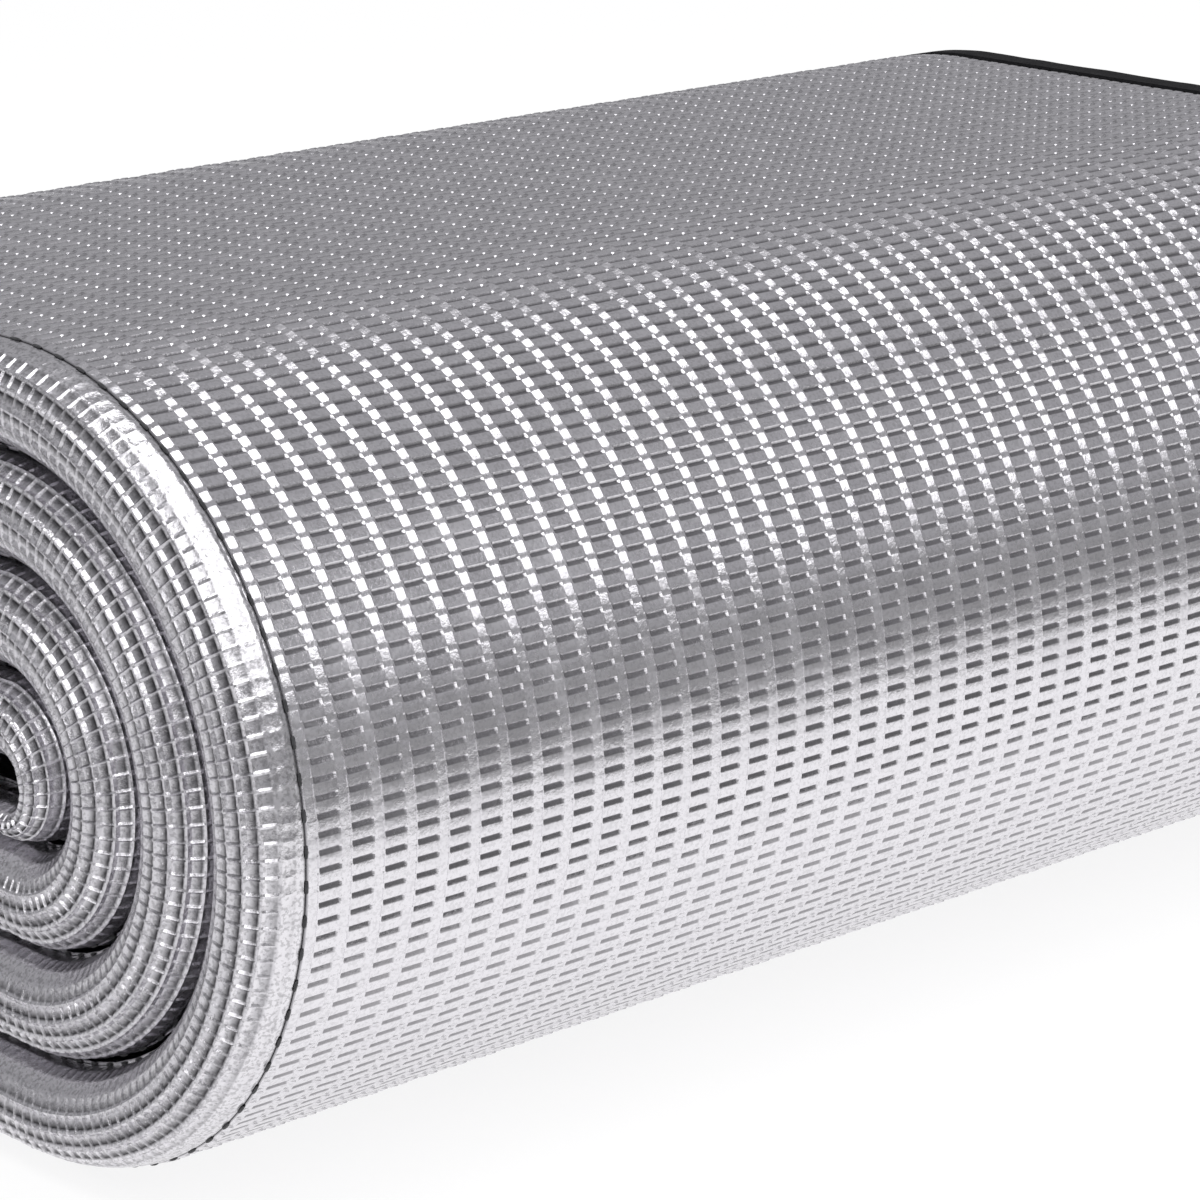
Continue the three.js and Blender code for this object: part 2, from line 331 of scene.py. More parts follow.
def end_tree(tree, entry, geometry):
    """Realize Instances, Set Material, and out."""
    real = tree.nodes.new("GeometryNodeRealizeInstances")
    paint = tree.nodes.new("GeometryNodeSetMaterial")
    out = tree.nodes.new("NodeGroupOutput")
    tree.links.new(geometry, real.inputs["Geometry"])
    tree.links.new(real.outputs["Geometry"], paint.inputs["Geometry"])
    tree.links.new(entry.outputs["Material"], paint.inputs["Material"])
    tree.links.new(paint.outputs["Geometry"], out.inputs["Geometry"])


print("ready to write trees")

# %% [markdown]
# ## The tree that rolls the pad up
#
# Every piece of the pad is made flat and sent through the same tree, so all of them fit each
# other once rolled. Each point knows its step along the pad. From that the tree works out the
# angle, how far across the flats it has moved, and the radius. The foam gives way where the roll
# is tight, but the film keeps its thickness, and near the band the outer turn is pressed in.

# %% Roll-up tree
BAND_SEAT = 0.0017
SEAT_X = 0.22955
SEAT_RAMP = 0.0035
SEAT_FADE = 0.25
MIDDLE_Y = (radius_at(0.625) - radius_at(0.125)) / 2
MIDDLE_Z = radius_at(0.875)
ROLL = {
    "Outer radius": OUTER_RADIUS,
    "Turn": TURN,
    "Slot": SLOT,
    "Squeeze": SQUEEZE,
    "Half flat": FLAT / 2,
    "Seat": BAND_SEAT,
    "Middle Y": MIDDLE_Y,
    "Middle Z": MIDDLE_Z,
}
roll_tree, roll_entry, roll_size = new_tree("roll up", ROLL)


def roll_radius(turns):
    """radius_at, as nodes."""
    even = roll_size["Outer radius"] - roll_size["Turn"] * turns
    power = ((even - roll_size["Slot"]) / roll_size["Squeeze"]).then("EXPONENT")
    return roll_size["Slot"] + roll_size["Squeeze"] * (power + 1.0).then("LOGARITHM", math.e)


print("the roll's middle line is at", round(MIDDLE_Y, 5), round(MIDDLE_Z, 5))

# %% Where a point lies round the roll
separate = roll_tree.nodes.new("ShaderNodeSeparateXYZ")
place = roll_tree.nodes.new("GeometryNodeInputPosition")
roll_tree.links.new(place.outputs[0], separate.inputs[0])
x, y, z = (Flow(roll_tree, separate.outputs[i]) for i in range(3))
moved = (y - attribute(roll_tree, "at")) / attribute(roll_tree, "step_length")
steps = attribute(roll_tree, "step") + moved
turn = (steps / STEPS_PER_TURN).then("FLOOR")
left = steps - turn * STEPS_PER_TURN
arcs = left.then("MINIMUM", BACK_END)
arcs = arcs + (left - FRONT_START).clamped(0, FRONT_END - FRONT_START)
arcs = arcs + (left - BOTTOM_END).clamped(0, STEPS_PER_TURN - BOTTOM_END)
turns = turn + arcs * (ARC_STEP / 360)
angle = (arcs * ARC_STEP + START_ANGLE).then("RADIANS")
over_top = (left - BACK_END).clamped(0, 1)
over_bottom = (left - FRONT_END).clamped(0, 1)
middle = roll_size["Half flat"] * ((over_bottom - over_top) * 2 + 1.0)
print("the pad turns by", ARC_STEP, "degrees a step")

# %% How far out a point lies
outside = roll_radius(turns)
room = outside - roll_radius(turns + 1.0) - TURN_GAP
depth = z * -1.0
soft = (depth - SKIN).clamped(0, THICK - 2 * SKIN)
give = (room - 2 * SKIN) / (THICK - 2 * SKIN)
squeezed = depth - soft + soft * give
near_band = ((x - SEAT_X) / SEAT_RAMP + 1.0).clamped(0, 1)
wrapped = ((turns * -1.0 + 1.0) / SEAT_FADE + 1.0).clamped(0, 1)
fading = (depth / (SKIN - THICK) + 1.0).then("MAXIMUM", 0.0)
pressed = roll_size["Seat"] * near_band * wrapped * fading
radius = outside - squeezed - pressed
print("the band presses the outer turn in by", BAND_SEAT, "m")

# %% Put each point in its rolled place
combine = roll_tree.nodes.new("ShaderNodeCombineXYZ")
new_y = roll_size["Middle Y"] + middle + radius * angle.then("COSINE")
new_z = roll_size["Middle Z"] + radius * angle.then("SINE")
for value, socket in zip((x, new_y, new_z), combine.inputs, strict=True):
    roll_tree.links.new(value.socket, socket)
put = roll_tree.nodes.new("GeometryNodeSetPosition")
roll_tree.links.new(roll_entry.outputs["Geometry"], put.inputs["Geometry"])
roll_tree.links.new(combine.outputs[0], put.inputs["Position"])
end_tree(roll_tree, roll_entry, put.outputs["Geometry"])
print("the roll-up tree has", len(roll_tree.nodes), "nodes")

# %% [markdown]
# ## The tree that embosses the film
#
# The film's pattern is one cell repeated thousands of times: a small bead that leans towards one
# side, with a groove at its foot, and beside it a slot pressed into the level film. Modelling one
# cell and copying it would leave gaps in a bent surface. Instead each point asks where it lies in
# its cell, and moves out by the height that the cell has there, so the pattern follows any
# surface. How far down a slot a point lies is kept as an attribute, and the material paints
# shade into the slots, pits and seam lines from it.
# The outer face's own sizes come first, in metres, and their names are the tree's inputs.

# %% Emboss tree
ACROSS_CELLS = 49
FACE_HALF = SEAM_X - SEAM_HALF
CELL_ACROSS = 2 * FACE_HALF / ACROSS_CELLS
CELL_ALONG = 0.0042
FACE_CELL = {
    "Pitch across": CELL_ACROSS,
    "Pitch along": CELL_ALONG,
    "Groove": 0.0006,
    "Groove depth": 0.00032,
    "Bead width": 0.0026,
    "Bead length": 0.0032,
    "Bead peak": 0.77,
    "Bead height": 0.0004,
    "Level": 0.0006,
    "Slot from": 0.0034,
    "Slot": 0.0,
    "Slot ramp": 0.0012,
    "Slot fall": 0.00045,
    "Rib width": 0.001,
    "Rib height": 0.0,
    "Pit shade": 0.82,
    "Unevenness": 0.25,
}
emboss_tree, emboss_entry, cell = new_tree("emboss", FACE_CELL)


def hump(distance, half, power):
    """1 in the middle of a hump and 0 from its edge outwards."""
    share = (distance / half).then("ABSOLUTE").then("POWER", power)
    return (share * -1.0 + 1.0).then("MAXIMUM", 0.0)


def in_cell(name, pitch):
    """How far into its cell a point lies."""
    whole = attribute(emboss_tree, name) / pitch
    return whole.then("FRACT") * pitch


def lumps(scale):
    """Noise over the flat pad, about 0.5 in the middle, with its seed fixed by its place."""
    texture = emboss_tree.nodes.new("ShaderNodeTexNoise")
    texture.inputs["Scale"].default_value = scale
    texture.inputs["Detail"].default_value = 1.0
    return Flow(emboss_tree, texture.outputs["Fac"])


u = in_cell("across", cell["Pitch across"])
v = in_cell("along", cell["Pitch along"])
half_row = cell["Pitch along"] * 0.5
from_row = v - half_row
print("a cell is", round(CELL_ACROSS * 1000, 2), "mm by", CELL_ALONG * 1000, "mm")

# %% A bead that leans: a foot in a groove, a long even rise, and a short fall
WALL = 0.00025
BEAD_BLUNTNESS = 10.0
from_foot = u - cell["Groove"]
rise = cell["Bead width"] * cell["Bead peak"]
fall = cell["Bead width"] - rise
sideways = (from_foot / rise).then("MINIMUM", (cell["Bead width"] - from_foot) / fall)
dip = (from_foot / WALL + 1.0).then("MINIMUM", from_foot / rise * -1.0 + 1.0)
lengthways = hump(from_row, cell["Bead length"] * 0.5, BEAD_BLUNTNESS)
lean = sideways.clamped(0, 1) * cell["Bead height"] - dip.clamped(0, 1) * cell["Groove depth"]
bead = lean * lengthways
print("a bead's foot is cut", WALL, "m wide")

# %% A slot: a ramp that faces up the roll and a steep end
SLOT_BLUNTNESS = 16.0
half_slot = (cell["Pitch across"] - cell["Slot from"]) * 0.5
slot_across = hump(u - cell["Slot from"] - half_slot, half_slot, SLOT_BLUNTNESS)
ramp_share = (v - cell["Slot"]) / cell["Slot ramp"]
drop = ((cell["Pitch along"] - v) / cell["Slot fall"]).clamped(0, 1)
cut = slot_across * (ramp_share.clamped(0, 1) * drop * -1.0 + 1.0)
print("slots are cut with bluntness", SLOT_BLUNTNESS)

# %% Ribs between rows of pits, and the whole height
RIB_ROUNDNESS = 2.0
UNEVEN_LUMPS = 160.0
SAG_LUMPS = 55.0
SAG_DEPTH = 0.0006
MOST_SAG = -0.00018
from_rib = half_row - from_row.then("ABSOLUTE")
rib = hump(from_rib, cell["Rib width"] * 0.5, RIB_ROUNDNESS) * cell["Rib height"]
raised = (cell["Level"] * (cut * -1.0 + 1.0) + bead).then("MAXIMUM", rib)
mask = attribute(emboss_tree, "relief")
uneven = (lumps(UNEVEN_LUMPS) - 0.5) * cell["Unevenness"] + 1.0
sag = (lumps(SAG_LUMPS) - 0.75).then("MINIMUM", 0.0) * SAG_DEPTH
height = (raised * uneven.then("MINIMUM", 1.0) + sag.then("MAXIMUM", MOST_SAG)) * mask
print("the film sags by up to", -MOST_SAG, "m between its lumps")

# %% How much painted shade each point gets, kept as the attribute "pit"
FADE_FROM = 0.82
FADE_OVER = 0.20
shallow = ((ramp_share - FADE_FROM) / FADE_OVER).clamped(0, 1) * drop
# painted shade: slots, the edges' pits and the seam lines are marked here for the dark colour that
# stands for their shade
pit = slot_across * (shallow * -1.0 + 1.0) * (rib / -RELIEF + 1.0) * cell["Pit shade"]
pit = (pit * mask).then("MAXIMUM", attribute(emboss_tree, "seam"))
keep = emboss_tree.nodes.new("GeometryNodeStoreNamedAttribute")
keep.inputs["Name"].default_value = "pit"
emboss_tree.links.new(emboss_entry.outputs["Geometry"], keep.inputs["Geometry"])
emboss_tree.links.new(pit.socket, keep.inputs["Value"])
print("a slot's shade fades out over the last fifth of its ramp")

# %% Lift every point by its height
scale = emboss_tree.nodes.new("ShaderNodeVectorMath")
scale.operation = "SCALE"
outward = attribute(emboss_tree, "outward", "FLOAT_VECTOR")
emboss_tree.links.new(outward, scale.inputs[0])
emboss_tree.links.new(height.socket, scale.inputs["Scale"])
lift = emboss_tree.nodes.new("GeometryNodeSetPosition")
emboss_tree.links.new(keep.outputs["Geometry"], lift.inputs["Geometry"])
emboss_tree.links.new(scale.outputs[0], lift.inputs["Offset"])
end_tree(emboss_tree, emboss_entry, lift.outputs["Geometry"])
print("emboss tree has", len(emboss_tree.nodes), "nodes")

# %% [markdown]
# ## Helpers for flat pieces
#
# A flat piece of film is a closed section, swept along the pad. Its outer side has many points,
# to carry the pattern, and its back has few, because nobody sees it. Each ring of points joins
# the next with four-sided faces, and the two ends are closed with one face each, unless the
# piece is a ring, whose last row joins the first.

# %% Swept pieces


def swept(name, rows, ring_shut=False):
    """A closed mesh from rows of points. Each row is a dict of arrays with one entry a point."""
    count = len(rows[0]["place"])
    places = np.concatenate([row["place"] for row in rows])
    ring = np.arange(count)
    starts = np.arange(len(rows) if ring_shut else len(rows) - 1)[:, None] * count
    a = starts + ring
    b = starts + np.roll(ring, -1)
    quads = np.stack([a, b, b + count, a + count], axis=-1).reshape(-1, 4) % len(places)
    caps = [] if ring_shut else [ring[::-1], ring + (len(rows) - 1) * count]
    corners = np.concatenate([quads.ravel(), *caps]).astype(np.int32)
    sizes = np.array([4] * len(quads) + [len(cap) for cap in caps])
    face_starts = np.cumsum(sizes) - sizes
    mesh = bpy.data.meshes.new(name)
    mesh.vertices.add(len(places))
    mesh.vertices.foreach_set("co", places.astype(np.float32).ravel())
    mesh.loops.add(len(corners))
    mesh.loops.foreach_set("vertex_index", corners)
    mesh.polygons.add(len(face_starts))
    mesh.polygons.foreach_set("loop_start", face_starts.astype(np.int32))
    mesh.update(calc_edges=True)
    for key_name in rows[0]:
        if key_name == "place":
            continue
        values = np.concatenate([row[key_name] for row in rows]).astype(np.float32)
        kind = "FLOAT_VECTOR" if values.ndim > 1 else "FLOAT"
        layer = mesh.attributes.new(key_name, kind, "POINT")
        layer.data.foreach_set("vector" if values.ndim > 1 else "value", values.ravel())
    mesh.validate()
    piece = bpy.data.objects.new(name, mesh)
    bpy.context.collection.objects.link(piece)
    return piece


def add_tree(piece, tree, sizes, material):
    """Put a tree on a piece and set its named inputs, before anything is worked out."""
    modifier = piece.modifiers.new(tree.name, "NODES")
    modifier.node_group = tree
    for item in tree.interface.items_tree:
        if item.in_out != "INPUT" or item.name == "Geometry":
            continue
        modifier[item.identifier] = material if item.name == "Material" else sizes[item.name]


# edges that bend by more than this stay sharp
CREASE = math.radians(18)


def plain_mesh(piece):
    """Turn what a piece's trees give into a plain mesh, with its faces outwards."""
    graph = bpy.context.evaluated_depsgraph_get()
    made = bpy.data.meshes.new_from_object(piece.evaluated_get(graph), depsgraph=graph)
    piece.modifiers.clear()
    piece.data = made
    made.name = piece.name
    made.calc_loop_triangles()
    corners = np.empty(len(made.loop_triangles) * 3, np.int32)
    made.loop_triangles.foreach_get("vertices", corners)
    points = np.empty(len(made.vertices) * 3, np.float32)
    made.vertices.foreach_get("co", points)
    a, b, c = points.reshape(-1, 3)[corners.reshape(-1, 3)].transpose(1, 0, 2).astype(float)
    volume = float((a * np.cross(b, c)).sum() / 6)
    if volume < 0:
        made.flip_normals()
    made.shade_smooth()
    made.set_sharp_from_angle(angle=CREASE)
    print(piece.name, len(made.loop_triangles), "triangles,", round(abs(volume) * 1e6, 1), "cm3")
    return piece


def emboss_and_roll(piece, cell_sizes, material):
    """What every flat piece of film goes through."""
    add_tree(piece, emboss_tree, cell_sizes, material)
    add_tree(piece, roll_tree, ROLL, material)
    plain_mesh(piece)


print("helpers ready")

# %% [markdown]
# ## The film's material
#
# Metallised film is a plastic sheet with a breath of aluminium on it, so it shines like soft
# metal and has no colour of its own. Four things keep it from looking like polished steel: fine
# crinkles from the laminating, patches where it is duller, tiny specks, and slots and seam lines
# that are painted darker, as painted shade in their grooves. They come from noise and from the
# "pit" attribute, in metres, so they keep their size on every piece. The folded edges have more
# specks, and their pits are painted darker still, as painted shade in the deep waffle.

# %% Helpers for materials


def new_material(name):
    """A material, its tree, and the shader that the tree ends in."""
    material = bpy.data.materials.new(name)
    material.use_nodes = True
    return material, material.node_tree, material.node_tree.nodes["Principled BSDF"]


def noise(tree, scale, detail):
    """Noise on Object coordinates; scale is in lumps per metre."""
    where = tree.nodes.new("ShaderNodeTexCoord")
    texture = tree.nodes.new("ShaderNodeTexNoise")
    texture.inputs["Scale"].default_value = scale
    texture.inputs["Detail"].default_value = detail
    tree.links.new(where.outputs["Object"], texture.inputs["Vector"])
    return texture.outputs["Fac"]


def spread(tree, socket, low, high, from_low=0.3, from_high=0.7):
    """A value stretched from one range to another."""
    node = tree.nodes.new("ShaderNodeMapRange")
    node.inputs["From Min"].default_value = from_low
    node.inputs["From Max"].default_value = from_high
    node.inputs["To Min"].default_value = low
    node.inputs["To Max"].default_value = high
    tree.links.new(socket, node.inputs["Value"])
    return node.outputs["Result"]


def bumped(tree, socket, distance, over=None):
    """Bump from a value, laid over another bump if one is given."""
    node = tree.nodes.new("ShaderNodeBump")
    node.inputs["Distance"].default_value = distance
    tree.links.new(socket, node.inputs["Height"])
    if over is not None:
        tree.links.new(over, node.inputs["Normal"])
    return node.outputs["Normal"]


def blend_colours(tree, socket, low, high):
    """A colour between two, by a value. Either may be a colour or another node's socket."""
    node = tree.nodes.new("ShaderNodeMix")
    node.data_type = "RGBA"
    ends = [s for s in node.inputs if s.type == "RGBA"]
    for end, colour in zip(ends, (low, high), strict=True):
        if isinstance(colour, bpy.types.NodeSocket):
            tree.links.new(colour, end)
        else:
            end.default_value = (*colour, 1)
    tree.links.new(socket, node.inputs["Factor"])
    return next(s for s in node.outputs if s.type == "RGBA")


def mottled(name, scale, detail, dark, light):
    """A material whose colour drifts between two tones."""
    material, tree, shader = new_material(name)
    tone = spread(tree, noise(tree, scale, detail), 0.0, 1.0)
    tree.links.new(blend_colours(tree, tone, dark, light), shader.inputs["Base Color"])
    print("made", name)
    return material, tree, shader


print("material helpers ready")

# %% Metallised film
FILM_COLOUR = np.array([0.80, 0.785, 0.82])
# painted shade: slots and seam lines are darkened towards this colour, standing for the shade in
# their grooves
SLOT_PAINTED_SHADE = (0.14, 0.135, 0.145)
# painted shade: the folded edges' waffle pits are darkened towards this colour, standing for the
# shade in them
FOLD_PAINTED_SHADE = (0.05, 0.048, 0.052)
FEW_SPECKS = 0.12
MANY_SPECKS = 0.30


def metal_film(name, speck, pit_painted_shade):
    """Metallised film; speck is how much darker its fine specks are, and the last colour is the
    painted shade of its slots, pits and seam lines.
    """
    material, tree, shader = new_material(name)
    shader.inputs["Metallic"].default_value = 1.0
    pit_read = tree.nodes.new("ShaderNodeAttribute")
    pit_read.attribute_name = "pit"
    # painted shade: the pit attribute blends the film towards a dark colour in slots, pits and seam
    # lines
    deep = spread(tree, pit_read.outputs["Fac"], 0.0, 1.0, from_low=0.05, from_high=0.95)
    specks = spread(tree, noise(tree, scale=1100, detail=1), 0.0, 1.0, from_low=0.38, from_high=0.52)
    clean = blend_colours(tree, specks, FILM_COLOUR * (1 - speck), FILM_COLOUR)
    colour = blend_colours(tree, deep, clean, pit_painted_shade)
    tree.links.new(colour, shader.inputs["Base Color"])
    patches = spread(tree, noise(tree, scale=90, detail=4), 0.20, 0.32)
    tree.links.new(patches, shader.inputs["Roughness"])
    crinkle = bumped(tree, noise(tree, scale=900, detail=2), distance=0.00009)
    fine = bumped(tree, noise(tree, scale=3200, detail=1), distance=0.00003, over=crinkle)
    tree.links.new(fine, shader.inputs["Normal"])
    print("made", material.name)
    return material


film = metal_film("metallised film", FEW_SPECKS, SLOT_PAINTED_SHADE)
edge_film = metal_film("metallised film, folded", MANY_SPECKS, FOLD_PAINTED_SHADE)

# %% [markdown]
# ## The outer face
#
# This is the film that everybody sees. Its points are not spread evenly: inside each cell they
# lie where the groove, the bead and the slot begin and end, so a few points draw the whole cell.
# Only the outer turn shows, so beyond it the rows are far apart. The whole sheet is still there,
# because the pad has to be all one sheet.

# %% Where the points lie in a cell
IN_CELL = np.array([0.35, 0.60, 2.60, 3.20, 3.40, 3.80, 9.35]) / 1000
IN_ROW = np.array([0.0, 0.55, 0.90, 1.25, 3.30, 3.70]) / 1000
COARSE_CLEAR = 0.002
START_CLEAR = 0.0003


def face_columns():
    """Places across the face, from seam to seam."""
    cells = np.arange(ACROSS_CELLS) * CELL_ACROSS
    across = (cells[:, None] + IN_CELL).ravel()
    return np.concatenate([[0.0], across, [2 * FACE_HALF]])


def rows_along(start, dense_to, coarse):
    """Lengths along the pad for the rows: dense to one length, then coarse ones given."""
    first = math.ceil(start / CELL_ALONG)
    cells = np.arange(first, int(dense_to / CELL_ALONG)) * CELL_ALONG
    dense = (cells[:, None] + IN_ROW).ravel()
    later = coarse[coarse > dense[-1] + COARSE_CLEAR]
    return np.concatenate([[start], dense[dense > start + START_CLEAR], later])


NEARBY = 0.05


def steps_for(lengths):
    """Steps, and metres a step, at lengths along the pad."""
    found = np.interp(lengths, FINE_LENGTH, FINE_STEPS)
    ahead = np.clip(found + NEARBY, 0, LAST_STEP)
    behind = np.clip(found - NEARBY, 0, LAST_STEP)
    moved = np.interp(ahead, FINE_STEPS, FINE_LENGTH) - np.interp(behind, FINE_STEPS, FINE_LENGTH)
    return found, moved / (ahead - behind)


half_steps = np.arange(0, LAST_STEP, 0.5)
COARSE_ROWS = np.interp(half_steps, FINE_STEPS, FINE_LENGTH)
OUTER_TURN = np.interp(STEPS_PER_TURN + 1.2, FINE_STEPS, FINE_LENGTH)
print("points across the face:", len(face_columns()))

# %% Rows of a piece that runs along the pad


def lengthwise(name, section, lengths):
    """Sweep a section along the pad. Past the outer turn it may have another relief."""
    found, step_length = steps_for(lengths)
    count = len(section["x"])
    rows = []
    for along, step, metres in zip(lengths, found, step_length, strict=True):
        same = np.full(count, along)
        deep_in = along > OUTER_TURN and "inner_relief" in section
        rows.append(
            {
                "place": np.stack([section["x"], same, section["z"]], axis=1),
                "outward": section["outward"],
                "relief": section["inner_relief" if deep_in else "relief"],
                "across": section["across"],
                "seam": section["seam"],
                "along": same,
                "at": same,
                "step": np.full(count, step),
                "step_length": np.full(count, metres),
            }
        )
    return swept(name, rows)


print("a lengthwise piece reaches its second relief at", round(float(OUTER_TURN), 3), "m")

# %% Outer face
# how dark the seam lines are painted: painted shade for the groove where the panels meet
SEAM_SHADE = 0.9


def flat_section(top, bottom, columns):
    """The section of a flat sheet: the patterned side, then a plain back."""
    places = columns - FACE_HALF
    bends = np.array([FACE_HALF, SEAT_X, SEAT_X - SEAT_RAMP, -FACE_HALF])
    count = len(places) + len(bends)
    outward = np.zeros((count, 3))
    outward[:, 2] = 1 if top > bottom else -1
    relief = np.zeros(count)
    relief[1 : len(places) - 1] = 1
    seam_painted_shade = np.zeros(count)
    seam_painted_shade[[0, len(places) - 1]] = SEAM_SHADE
    return {
        "x": np.concatenate([places, bends]),
        "z": np.concatenate([np.full(len(places), top), np.full(len(bends), bottom)]),
        "outward": outward,
        "relief": relief,
        "seam": seam_painted_shade,
        "across": np.concatenate([columns, bends + FACE_HALF]),
    }


END_SEAM = 0.0009
face_rows = rows_along(END_SEAM, OUTER_TURN, COARSE_ROWS)
face_rows = np.append(face_rows[face_rows < PAD_LENGTH - 2 * END_SEAM], PAD_LENGTH - END_SEAM)
outer_face = lengthwise("outer_face", flat_section(-RELIEF, -FILM, face_columns()), face_rows)
emboss_and_roll(outer_face, FACE_CELL, film)
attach(outer_face, "roll")
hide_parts("outer_face_film")

# %% [markdown]
# ## The inner face
#
# The pad's inner face is hidden in the roll, apart from a glimpse in the slot at its middle. It
# has the same film, so it gets the same material, but a plain sheet with few points is enough.

# %% Inner face
INNER_COLUMNS = 13
inner_columns = np.linspace(0, 2 * FACE_HALF, INNER_COLUMNS)
inner_rows = COARSE_ROWS[(COARSE_ROWS > 2 * END_SEAM) & (COARSE_ROWS < PAD_LENGTH - 2 * END_SEAM)]
inner_rows = np.concatenate([[END_SEAM], inner_rows, [PAD_LENGTH - END_SEAM]])
inner_section = flat_section(-THICK + FILM_GAP, -THICK + FILM, inner_columns)
inner_face = lengthwise("inner_face", inner_section, inner_rows)
emboss_and_roll(inner_face, {**FACE_CELL, "Bead height": 0.0, "Level": 0.0}, film)
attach(inner_face, "roll")
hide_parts("inner_face_film")

# %% [markdown]
# ## The rounded edges
#
# Where the pad's long edges are rounded over, the film is folded round the foam and the pattern
# is crowded into a finer waffle: small deep pits with raised ribs between them. The section is a
# half-ring, with the pattern running round it, and the same two trees do the rest.

# %% Edge films
EDGE_CELLS = 9
EDGE_ARC = math.pi * (NOSE - RELIEF)
EDGE_PITCH = EDGE_ARC / EDGE_CELLS
EDGE_CELL = {
    "Pitch across": EDGE_PITCH,
    "Pitch along": CELL_ALONG,
    "Groove": 0.0002,
    "Groove depth": 0.0,
    "Bead width": 0.0019,
    "Bead length": 0.0036,
    "Bead peak": 0.5,
    "Bead height": RELIEF,
    "Level": 0.0,
    "Slot from": 0.0017,
    "Slot": CELL_ALONG,
    "Slot ramp": 0.001,
    "Slot fall": 0.001,
    "Rib width": 0.0013,
    "Rib height": 0.00075,
    "Pit shade": 1.0,
    "Unevenness": 1.0,
}
EDGE_IN_CELL = np.array([0.1, 0.55, 1.05, 1.55, 2.1]) / 1000
EDGE_IN_ROW = np.array([0.0, 0.6, 2.1, 3.6]) / 1000
TAIL = 0.0006
BACK_POINTS = 13
CREST_FADE = 38
LEAST_RELIEF = 0.2


def crest(turned, middle, plateau):
    """How deep the waffle is round the edge: full about a middle angle, and shallow away from it."""
    depth = plateau - np.abs(np.degrees(turned) - middle) / CREST_FADE
    depth = np.clip(depth, LEAST_RELIEF, 1)
    depth[[0, -1]] = 0
    return depth


def round_section(side):
    """The half-ring section of the film folded round one long edge."""
    cells = np.arange(EDGE_CELLS) * EDGE_PITCH
    around = (cells[:, None] + EDGE_IN_CELL).ravel()
    turned = np.concatenate([[0], around, [EDGE_ARC]]) / (NOSE - RELIEF)
    angles = np.concatenate([turned, np.linspace(math.pi, 0, BACK_POINTS)])
    radii = np.concatenate([np.full(len(turned), NOSE - RELIEF), np.full(BACK_POINTS, NOSE - FILM)])
    x_out = np.sin(angles)
    z_out = np.cos(angles)
    xs = side * (SEAM_X + radii * x_out)
    zs = -NOSE + radii * z_out
    out = np.stack([side * x_out, np.zeros(len(angles)), z_out], axis=1)
    tails = side * (SEAM_X - TAIL)
    first = len(turned)
    xs = np.concatenate([[tails], xs[:first], [tails, tails], xs[first:], [tails]])
    low_top, low_back = -NOSE - (NOSE - RELIEF), -NOSE - (NOSE - FILM)
    high_back = -NOSE + (NOSE - FILM)
    zs = np.concatenate([[zs[0]], zs[:first], [low_top, low_back], zs[first:], [high_back]])
    up, down = [[0, 0, 1.0]], [[0, 0, -1.0]]
    out = np.concatenate([up, out[:first], down, down, out[first:], up])
    smooth = np.zeros(BACK_POINTS + 3)
    relief = np.concatenate([[0], crest(turned, 74, 1.6), smooth])
    inner_relief = np.concatenate([[0], crest(turned, 66, 1.8), smooth])
    across = np.concatenate([[0], turned * (NOSE - RELIEF), smooth])
    seam_painted_shade = np.zeros(len(xs))
    seam_painted_shade[[0, first + 1]] = SEAM_SHADE
    return {
        "x": xs,
        "z": zs,
        "outward": out,
        "relief": relief,
        "inner_relief": inner_relief,
        "seam": seam_painted_shade,
        "across": across,
    }


EDGE_END = 0.0003
EDGE_CLEAR = 0.0008


def edge_rows():
    """Every row of the waffle, from end to end of the pad."""
    cells = np.arange(int(PAD_LENGTH / CELL_ALONG) + 1) * CELL_ALONG
    rows = (cells[:, None] + EDGE_IN_ROW).ravel()
    rows = rows[(rows > EDGE_CLEAR) & (rows < PAD_LENGTH - EDGE_CLEAR)]
    return np.concatenate([[EDGE_END], rows, [PAD_LENGTH - EDGE_END]])


print("the waffle round an edge has cells of", round(EDGE_PITCH * 1000, 2), "mm")

# %% Both edges
for side, name, node in ((-1, "near_edge", "left_edge_film"), (1, "far_edge", "right_edge_film")):
    edge = lengthwise(name, round_section(side), edge_rows())
    emboss_and_roll(edge, EDGE_CELL, edge_film)
    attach(edge, "roll")
    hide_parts(node)

# %% [markdown]
# ## The two ends
#
# The film is folded round the pad's short ends in the same way, and at each corner it turns
# through a quarter circle into the long edge, like the corner of a pillow. So the half-circle is
# swung round the first corner, slid across the pad, and swung round the second corner.

# %% End films
CORNER_TURNS = np.radians(np.arange(0, 91, 10))
CORNER_CLEAR = 0.001


